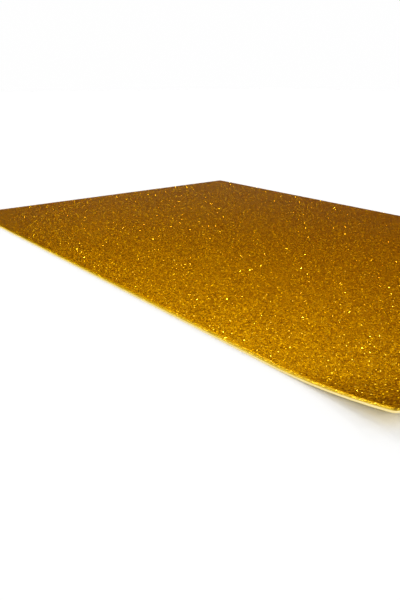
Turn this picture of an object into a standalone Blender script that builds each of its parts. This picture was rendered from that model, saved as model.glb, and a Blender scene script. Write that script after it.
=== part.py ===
# Craft foam sheet with a gold glitter face.
#
# A cut sheet of soft EVA craft foam lies flat, glitter side up. Its glitter film covers the whole top. Where the
# cutting die squeezed the sheet, the rim rolls down over the cut side. One corner lifts a few millimetres.
# Units are metres, +Z is up. The origin is under the middle of the sheet, on the plane that it rests on.

import math

import bmesh
import bpy


# Driving sizes

SHEET_LENGTH = 0.4572        # long side, along X: 18 in
SHEET_WIDTH = 0.3048         # short side, along Y: 12 in
FOAM_THICKNESS = 0.0018      # foam body, from its underside to its top face
FILM_THICKNESS = 0.0002      # bonded film that carries the glitter
GLUE_LINE = 0.00003          # bond between the film and the foam
ROLL_WIDTH = 0.0018          # how wide the rolled rim is, in from the cut side
ROLL_DROP = 0.0010           # how far the film comes down at the cut side, below the flat face
FILM_CUT = 0.0001            # height of the film's own cut, where it is still upright
FACE_CORNER_RADIUS = 0.0004  # corners of the flat face, inside the rolled rim
UNDER_RADIUS = 0.0002        # soft lower edge of the foam
LIFT_HEIGHT = 0.0068         # how high the front right corner stands off the floor
LIFT_REACH = 0.045           # how far from that corner the lift begins, along its diagonal

# Mesh fineness

GRID_STEP = 0.010            # largest spacing of the points across a face
CORNER_STEPS = 6             # straight pieces round each cut corner
ROLL_STEPS = 5               # straight pieces over the rolled rim
UNDER_STEPS = 2              # straight pieces round the lower edge

# Sizes that follow from the ones above

FILM_TOP = FOAM_THICKNESS + GLUE_LINE + FILM_THICKNESS
ROLL_FOOT = FILM_TOP - ROLL_DROP
CORNER_RADIUS = ROLL_WIDTH + FACE_CORNER_RADIUS


def clear_scene():
    for thing in list(bpy.data.objects):
        bpy.data.objects.remove(thing, do_unlink=True)


def make_material(name, colour, roughness, metallic):
    material = bpy.data.materials.new(name)
    material.use_nodes = True
    shader = material.node_tree.nodes["Principled BSDF"]
    shader.inputs["Base Color"].default_value = (*colour, 1.0)
    shader.inputs["Roughness"].default_value = roughness
    shader.inputs["Metallic"].default_value = metallic
    material.diffuse_color = (*colour, 1.0)
    return material


def lift(x, y):
    """Height above the floor of the sheet's underside: zero, but for the front right corner."""
    from_corner = ((SHEET_LENGTH / 2 - x) + (y + SHEET_WIDTH / 2)) / math.sqrt(2)
    part = max(0.0, 1.0 - from_corner / LIFT_REACH)
    return LIFT_HEIGHT * part * part


def cut_outline(bm):
    """Grid of the sheet's size with its four corners rounded."""
    columns = math.ceil(SHEET_LENGTH / GRID_STEP)
    rows = math.ceil(SHEET_WIDTH / GRID_STEP)
    bmesh.ops.create_grid(bm, x_segments=columns, y_segments=rows, size=0.5)
    bmesh.ops.scale(bm, verts=bm.verts, vec=(SHEET_LENGTH, SHEET_WIDTH, 1.0))
    corners = [v for v in bm.verts if len(v.link_edges) == 2]
    bmesh.ops.bevel(bm, geom=corners, affect="VERTICES", offset_type="OFFSET", offset=CORNER_RADIUS,
                    segments=CORNER_STEPS, profile=0.5, clamp_overlap=True)


def slab(low, high):
    """Sheet's outline as a flat slab, with the lists of its lower and upper faces."""
    bm = bmesh.new()
    cut_outline(bm)
    bmesh.ops.translate(bm, verts=bm.verts, vec=(0, 0, low))
    grown = bmesh.ops.extrude_face_region(bm, geom=list(bm.faces))["geom"]
    upper_verts = [g for g in grown if isinstance(g, bmesh.types.BMVert)]
    bmesh.ops.translate(bm, verts=upper_verts, vec=(0, 0, high - low))
    bmesh.ops.recalc_face_normals(bm, faces=bm.faces)
    lower = [f for f in bm.faces if f.normal.z < -0.5]
    upper = [f for f in bm.faces if f.normal.z > 0.5]
    return bm, lower, upper


def follow(bm, faces, section):
    """Moves a face along section, a list of (inset, height) that starts where the face is, and adds a rim each time."""
    for (inset, height), (next_inset, next_height) in zip(section, section[1:]):
        bmesh.ops.inset_region(bm, faces=faces, thickness=next_inset - inset, use_even_offset=True, use_boundary=True)
        moved = {v for f in faces for v in f.verts}
        bmesh.ops.translate(bm, verts=list(moved), vec=(0, 0, next_height - height))


def roll(depth, foot):
    """Insets and heights over the rolled rim, from its foot up to the flat face, at this depth under the outside."""
    turns = [math.pi / 2 * i / ROLL_STEPS for i in range(ROLL_STEPS + 1)]
    across = ROLL_WIDTH - depth
    rise = FILM_TOP - depth - foot
    return [(ROLL_WIDTH - across * math.cos(t), foot + rise * math.sin(t)) for t in turns]


def finish(bm, name, material):
    """Lifts the corner, splits the faces along the fold lines and makes the object."""
    for v in bm.verts:
        v.co.z += lift(v.co.x, v.co.y)
    bmesh.ops.triangulate(bm, faces=bm.faces, quad_method="SHORT_EDGE", ngon_method="BEAUTY")
    mesh = bpy.data.meshes.new(name)
    bm.to_mesh(mesh)
    bm.free()
    mesh.materials.append(material)
    thing = bpy.data.objects.new(name, mesh)
    bpy.context.scene.collection.objects.link(thing)


def make_foam():
    """Soft lower edge, straight cut side, a narrow ledge under the film's edge, then the rolled rim."""
    side_top = ROLL_FOOT - GLUE_LINE
    bond = FILM_THICKNESS + GLUE_LINE
    bm, lower, upper = slab(UNDER_RADIUS, side_top)
    turns = [math.pi / 2 * i / UNDER_STEPS for i in range(UNDER_STEPS + 1)]
    under = [(UNDER_RADIUS * (1 - math.cos(t)), UNDER_RADIUS * (1 - math.sin(t))) for t in turns]
    follow(bm, lower, under)
    follow(bm, upper, [(0.0, side_top)] + roll(bond, side_top))
    finish(bm, "foam_sheet", make_material("foam_cream", (0.86, 0.73, 0.36), 0.75, 0.0))


def make_film():
    """Short upright cut, the rolled rim outside, and its inner side that lies on the foam."""
    bm, lower, upper = slab(ROLL_FOOT, ROLL_FOOT + FILM_CUT)
    follow(bm, upper, roll(0.0, ROLL_FOOT + FILM_CUT))
    follow(bm, lower, [(0.0, ROLL_FOOT)] + roll(FILM_THICKNESS, ROLL_FOOT))
    finish(bm, "glitter_film", make_material("glitter_gold", (0.62, 0.33, 0.03), 0.38, 0.65))


clear_scene()
make_foam()
make_film()
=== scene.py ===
# Craft foam sheet with a gold glitter face, dressed for its photograph.
#
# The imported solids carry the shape: a soft foam body and the glitter film bonded over it. This script gives both
# their surfaces, sows real glitter flakes over the film, and sets the floor, the lights and the camera.

import math
import random

import bpy
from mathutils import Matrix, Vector
from mathutils.bvhtree import BVHTree


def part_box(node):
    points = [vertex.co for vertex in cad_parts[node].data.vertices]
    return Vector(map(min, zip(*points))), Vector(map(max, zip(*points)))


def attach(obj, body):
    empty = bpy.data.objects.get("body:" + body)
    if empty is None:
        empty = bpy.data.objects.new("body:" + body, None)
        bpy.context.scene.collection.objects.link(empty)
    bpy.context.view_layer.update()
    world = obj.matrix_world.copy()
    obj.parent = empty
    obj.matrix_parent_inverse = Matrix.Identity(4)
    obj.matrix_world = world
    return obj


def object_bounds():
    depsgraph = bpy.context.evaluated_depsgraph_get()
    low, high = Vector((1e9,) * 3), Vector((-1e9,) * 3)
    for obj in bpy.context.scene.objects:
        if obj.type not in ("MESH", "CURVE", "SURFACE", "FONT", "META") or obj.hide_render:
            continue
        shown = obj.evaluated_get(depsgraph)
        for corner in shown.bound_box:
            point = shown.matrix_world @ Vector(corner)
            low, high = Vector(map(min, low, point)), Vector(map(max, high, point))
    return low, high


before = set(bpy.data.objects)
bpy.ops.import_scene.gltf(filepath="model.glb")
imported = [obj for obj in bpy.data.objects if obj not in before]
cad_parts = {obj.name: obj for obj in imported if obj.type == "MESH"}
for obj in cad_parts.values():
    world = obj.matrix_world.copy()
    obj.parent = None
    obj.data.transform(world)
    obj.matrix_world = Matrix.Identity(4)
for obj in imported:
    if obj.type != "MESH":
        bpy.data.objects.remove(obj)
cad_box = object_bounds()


# Film and foam. Sizes are in metres; each list of colours runs over its texture's value.

FINE_CELL = 0.00040          # glitter grains of the film's even, dense layer
COARSE_CELL = 0.0011         # clumps of grains that read lighter or darker together
FINE_SHARE, COARSE_SHARE = 0.65, 0.35  # of a grain's lightness
GRAIN_TILT = 0.35            # how far a grain's normal may turn away from the film's
GRAIN_COLOURS = [(0.1, (0.21, 0.096, 0.006)), (0.45, (0.325, 0.155, 0.008)),
                 (0.75, (0.42, 0.209, 0.011)), (0.95, (0.61, 0.336, 0.022))]
GRAIN_GRAZING = (0.10, 0.115, 0.08)    # tint of what the film mirrors at a low angle
# paler yellow painted along the rolled rim as a highlight, not the film's own colour
RIM_HIGHLIGHT_COLOUR = (0.78, 0.53, 0.045)
RIM_HIGHLIGHT_FADE = 0.0027            # how far in from the cut side the painted highlight on the rolled rim reaches
RIM_HIGHLIGHT_FALL = 4.5               # power by which the painted rim highlight fades out over that width
FOAM_COLOURS = [(0.3, (0.92, 0.73, 0.29)), (0.7, (0.97, 0.81, 0.37))]
FOAM_PORE = 0.00012          # closed cells of the foam, as they show on a cut
PORE_DEPTH = 0.00004

# Flakes, in metres

FLAKE_ACROSS = (0.00040, 0.00065)  # corner to corner
CHIP_ACROSS = (0.00050, 0.00080)   # the brighter ones, which glint
FLAKE_PROUD = 0.00002        # how far a flake's middle stands over the film
FLAKE_ROOT = 0.00010         # how deep a flake's underside reaches
FLAKE_TILT = 0.22            # spread of the flakes' tilt, as a slope
CORNERS = 6
ABOVE_ALL = 0.1              # height from which the film is looked for

# Each kind of flake: piece, how many, seed, material, colour, roughness from and to, how wide from and to.

FLAKES = (
    ("flakes_gold", 4000, 1, "gold_flake", (0.68, 0.34, 0.014), (0.26, 0.42), FLAKE_ACROSS),
    ("flakes_amber", 4000, 2, "amber_flake", (0.62, 0.28, 0.006), (0.26, 0.42), FLAKE_ACROSS),
    ("flakes_lemon", 4000, 3, "lemon_flake", (0.82, 0.48, 0.030), (0.26, 0.42), FLAKE_ACROSS),
    ("chips_lemon", 13000, 4, "lemon_chip", (0.94, 0.62, 0.060), (0.07, 0.22), CHIP_ACROSS),
)

# Lights. An azimuth is turned left from +Y. After the azimuths come the elevation and how wide the light looks, all
# in degrees, and the power.

ROOM = [(0.25, (0.995,) * 3), (0.7, (0.45,) * 3)]  # white walls, and darker from there up to overhead
LIGHTS = (
    ("box_back_left", (60,), 38, 25, 0.40),
    ("box_back_right", (35,), 25, 25, 0.20),
    ("box_left", (75,), 40, 25, 0.10),
    ("glint", (34, 50, 68), 41, 3, 0.09),
    ("lamp", range(104, 360, 36), 34, 2, 0.22),
    ("high_lamp", (60, 180, 300), 66, 2, 0.12),
)

# Camera, at the photograph's viewing angle

CAMERA_PLACE = (0.3245, -0.3185, 0.1193)
CAMERA_AZIMUTH = 51.6        # degrees, turned left from looking along +Y
CAMERA_PITCH = 21.0          # degrees below the horizon
LENS = 34.4                  # mm, on a 36 mm sensor

FLOOR_SIDE = 12.0            # wide enough to fill the view


def node(tree, kind, inputs=None, **settings):
    """Adds a shader node. inputs maps a socket's name or number to a value, or to the output that feeds it."""
    made = tree.nodes.new(kind)
    for key, value in settings.items():
        setattr(made, key, value)
    for key, value in (inputs or {}).items():
        if isinstance(value, bpy.types.NodeSocket):
            tree.links.new(value, made.inputs[key])
        else:
            made.inputs[key].default_value = value
    return made


def math_node(tree, operation, *values, clamp=False):
    return node(tree, "ShaderNodeMath", dict(enumerate(values)), operation=operation, use_clamp=clamp).outputs[0]


def vector_node(tree, operation, *values):
    return node(tree, "ShaderNodeVectorMath", dict(enumerate(values)), operation=operation).outputs[0]


def object_place(tree):
    return node(tree, "ShaderNodeTexCoord").outputs["Object"]


def noise(tree, place, **inputs):
    return node(tree, "ShaderNodeTexNoise", {"Vector": place, **inputs}).outputs["Fac"]


def cells(tree, place, size):
    """Random grains of this size: their random colour and the distance from their middle."""
    made = node(tree, "ShaderNodeTexVoronoi", {"Vector": place, "Scale": 1.0 / size})
    return made.outputs["Color"], made.outputs["Distance"]


def channel(tree, colour, number):
    return node(tree, "ShaderNodeSeparateColor", {0: colour}).outputs[number]


def ramp(tree, fac, stops):
    """Colour ramp through stops, a list of (position, colour)."""
    made = node(tree, "ShaderNodeValToRGB", {"Fac": fac})
    elements = made.color_ramp.elements
    while len(elements) < len(stops):
        elements.new(0.5)
    for element, (position, colour) in zip(elements, stops):
        element.position = position
        element.color = (*colour, 1.0)
    return made.outputs["Color"]


def new_material(name, **values):
    """Material of this name, with its node tree and its shader. values are the shader's plain sockets."""
    material = bpy.data.materials.new(name)
    material.use_nodes = True
    shader = material.node_tree.nodes["Principled BSDF"]
    for key, value in values.items():
        shader.inputs[key.replace("_", " ")].default_value = value
    return material, material.node_tree, shader


def past_fade(tree, coordinate, low, high):
    """How far a point has come past the line where the painted rim highlight begins, towards the nearer of these two
    sides.
    """
    off_middle = math_node(tree, "ABSOLUTE", math_node(tree, "SUBTRACT", coordinate, (low + high) / 2))
    return math_node(tree, "SUBTRACT", off_middle, (high - low) / 2 - RIM_HIGHLIGHT_FADE)


def rim_highlight_mask(tree, place):
    """Where the painted rim highlight lies: 1 at the cut side, and fading to 0 on the flat face."""
    low, high = cad_box
    x, y, _ = node(tree, "ShaderNodeSeparateXYZ", {0: place}).outputs
    nearest = math_node(tree, "MAXIMUM", past_fade(tree, x, low.x, high.x), past_fade(tree, y, low.y, high.y))
    rise = math_node(tree, "DIVIDE", nearest, RIM_HIGHLIGHT_FADE, clamp=True)
    return math_node(tree, "POWER", rise, RIM_HIGHLIGHT_FALL)


def glitter_material():
    """Dense metallised grains in a clear film, each tilted its own way, with a painted highlight along the rim."""
    material, tree, shader = new_material("gold_glitter_film", Metallic=1.0, Roughness=0.32,
                                          Specular_Tint=(*GRAIN_GRAZING, 1.0))
    place = object_place(tree)
    fine, _ = cells(tree, place, FINE_CELL)
    coarse, _ = cells(tree, place, COARSE_CELL)

    lightness = math_node(tree, "ADD", math_node(tree, "MULTIPLY", channel(tree, fine, 2), FINE_SHARE),
                          math_node(tree, "MULTIPLY", channel(tree, coarse, 1), COARSE_SHARE))
    grain = ramp(tree, lightness, GRAIN_COLOURS)
    # the grains' own colours, with a painted highlight mixed in along the rim
    colour = node(tree, "ShaderNodeMix",
                  {"Factor": rim_highlight_mask(tree, place), 6: grain, 7: (*RIM_HIGHLIGHT_COLOUR, 1.0)},  # 6 and 7 are its two colours
                  data_type="RGBA").outputs[2]
    tree.links.new(colour, shader.inputs["Base Color"])

    tilt = vector_node(tree, "SUBTRACT", fine, (0.5, 0.5, 0.5))
    tilt = node(tree, "ShaderNodeVectorMath", {0: tilt, "Scale": GRAIN_TILT}, operation="SCALE").outputs[0]
    normal = node(tree, "ShaderNodeNewGeometry").outputs["Normal"]
    normal = vector_node(tree, "NORMALIZE", vector_node(tree, "ADD", normal, tilt))
    tree.links.new(normal, shader.inputs["Normal"])
    return material


def foam_material():
    """Soft closed-cell foam, matt, with pores on the cut."""
    material, tree, shader = new_material("cream_foam", Roughness=0.8, Specular_IOR_Level=0.25)
    place = object_place(tree)
    _, pore = cells(tree, place, FOAM_PORE)
    patch = noise(tree, place, Scale=160.0, Detail=3.0)
    tree.links.new(ramp(tree, patch, FOAM_COLOURS), shader.inputs["Base Color"])
    bump = node(tree, "ShaderNodeBump", {"Height": pore, "Strength": 0.5, "Distance": PORE_DEPTH})
    tree.links.new(bump.outputs[0], shader.inputs["Normal"])
    return material


def flake_material(name, colour, smoothest, roughest):
    """Small mirror of metallised film, dyed this colour."""
    material, tree, shader = new_material(name, Base_Color=(*colour, 1.0), Metallic=1.0,
                                          Specular_Tint=(*colour, 1.0))
    cloud = noise(tree, object_place(tree), Scale=900.0)
    rough = node(tree, "ShaderNodeMapRange", {"Value": cloud, "To Min": smoothest, "To Max": roughest}).outputs[0]
    tree.links.new(rough, shader.inputs["Roughness"])
    return material


def dress(name, material):
    """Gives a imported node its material."""
    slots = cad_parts[name].data.materials
    slots.clear()
    slots.append(material)


def flake(middle, up, radius, turn):
    """Points of one flake: the corners of its face, and its root under the middle."""
    basis = up.to_track_quat("Z", "Y")
    angles = [turn + corner * math.pi / 3 for corner in range(CORNERS)]
    points = [middle + basis @ Vector((radius * math.cos(a), radius * math.sin(a), 0)) for a in angles]
    return points + [middle - up * FLAKE_ROOT]


def flake_faces(start):
    """Faces of the flake whose points begin at this number: its face, and the slopes down to its root."""
    root = start + CORNERS
    slopes = [(start + (c + 1) % CORNERS, start + c, root) for c in range(CORNERS)]
    return [tuple(range(start, root))] + slopes


def map_from_above(mesh, low, high):
    """UV map for baking: the sheet's plan, so that each flake has its own place."""
    layer = mesh.uv_layers.new(name="OFBake")
    for loop in mesh.loops:
        place = mesh.vertices[loop.vertex_index].co
        layer.uv[loop.index].vector = ((place.x - low.x) / (high.x - low.x), (place.y - low.y) / (high.y - low.y))


def sow_flakes(name, count, seed, material, across):
    """Flakes half sunk in the film, one in each square of a grid, each tilted its own way."""
    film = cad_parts["glitter_film"]
    surface = BVHTree.FromPolygons([v.co for v in film.data.vertices], [p.vertices for p in film.data.polygons])
    low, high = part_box("glitter_film")
    pitch = math.sqrt((high.x - low.x) * (high.y - low.y) / count)
    draw = random.Random(seed)
    points, faces = [], []
    for column in range(int((high.x - low.x) / pitch)):
        for row in range(int((high.y - low.y) / pitch)):
            x = low.x + (column + draw.random()) * pitch
            y = low.y + (row + draw.random()) * pitch
            radius = draw.uniform(*across) / 2
            tilt = Vector((draw.gauss(0, FLAKE_TILT), draw.gauss(0, FLAKE_TILT), 1)).normalized()
            turn = draw.uniform(0, math.pi / 3)
            hit, normal, _, _ = surface.ray_cast(Vector((x, y, ABOVE_ALL)), Vector((0, 0, -1)))
            if hit is None:
                continue  # outside a rounded corner
            up = normal.to_track_quat("Z", "Y") @ tilt
            faces += flake_faces(len(points))
            points += flake(hit + normal * FLAKE_PROUD, up, radius, turn)
    mesh = bpy.data.meshes.new(name)
    mesh.from_pydata(points, [], faces)
    map_from_above(mesh, low, high)
    mesh.materials.append(material)
    piece = bpy.data.objects.new(name, mesh)
    bpy.context.scene.collection.objects.link(piece)
    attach(piece, "root")


def make_floor():
    """Pale, plain floor."""
    bpy.ops.mesh.primitive_plane_add(size=FLOOR_SIDE, location=(0, 0, 0))
    floor = bpy.context.object
    floor.name = "floor"
    material, _, _ = new_material("pale_floor", Base_Color=(0.86, 0.86, 0.86, 1.0), Roughness=0.9,
                                  Specular_IOR_Level=0.1)
    floor.data.materials.append(material)


def add_light(name, azimuth, elevation, across, power):
    """Round light far off."""
    data = bpy.data.lights.new(name, "SUN")
    data.energy = power
    data.angle = math.radians(across)
    light = bpy.data.objects.new(name, data)
    light.rotation_euler = (math.radians(90 - elevation), 0, math.radians(azimuth + 180))
    bpy.context.scene.collection.objects.link(light)


def make_lights():
    """A white room, soft boxes behind the sheet, and small lamps all round and high up that make the flakes glint."""
    world = bpy.data.worlds.new("studio")
    world.use_nodes = True
    tree = world.node_tree
    direction = node(tree, "ShaderNodeTexCoord").outputs["Generated"]
    height = node(tree, "ShaderNodeSeparateXYZ", {0: direction}).outputs[2]
    tree.links.new(ramp(tree, height, ROOM), tree.nodes["Background"].inputs["Color"])
    bpy.context.scene.world = world
    for name, azimuths, elevation, across, power in LIGHTS:
        for azimuth in azimuths:
            add_light(f"{name}_{azimuth}", azimuth, elevation, across, power)


def make_camera():
    data = bpy.data.cameras.new("camera")
    data.sensor_width = 36.0
    data.lens = LENS
    data.clip_start = 0.005
    camera = bpy.data.objects.new("camera", data)
    camera.location = CAMERA_PLACE
    camera.rotation_euler = (math.radians(90 - CAMERA_PITCH), 0, math.radians(CAMERA_AZIMUTH))
    bpy.context.scene.collection.objects.link(camera)
    bpy.context.scene.camera = camera


bpy.context.scene.view_settings.view_transform = "Standard"
make_camera()
make_floor()
make_lights()
dress("glitter_film", glitter_material())
dress("foam_sheet", foam_material())
for name, count, seed, finish, colour, (smoothest, roughest), across in FLAKES:
    sow_flakes(name, count, seed, flake_material(finish, colour, smoothest, roughest), across)
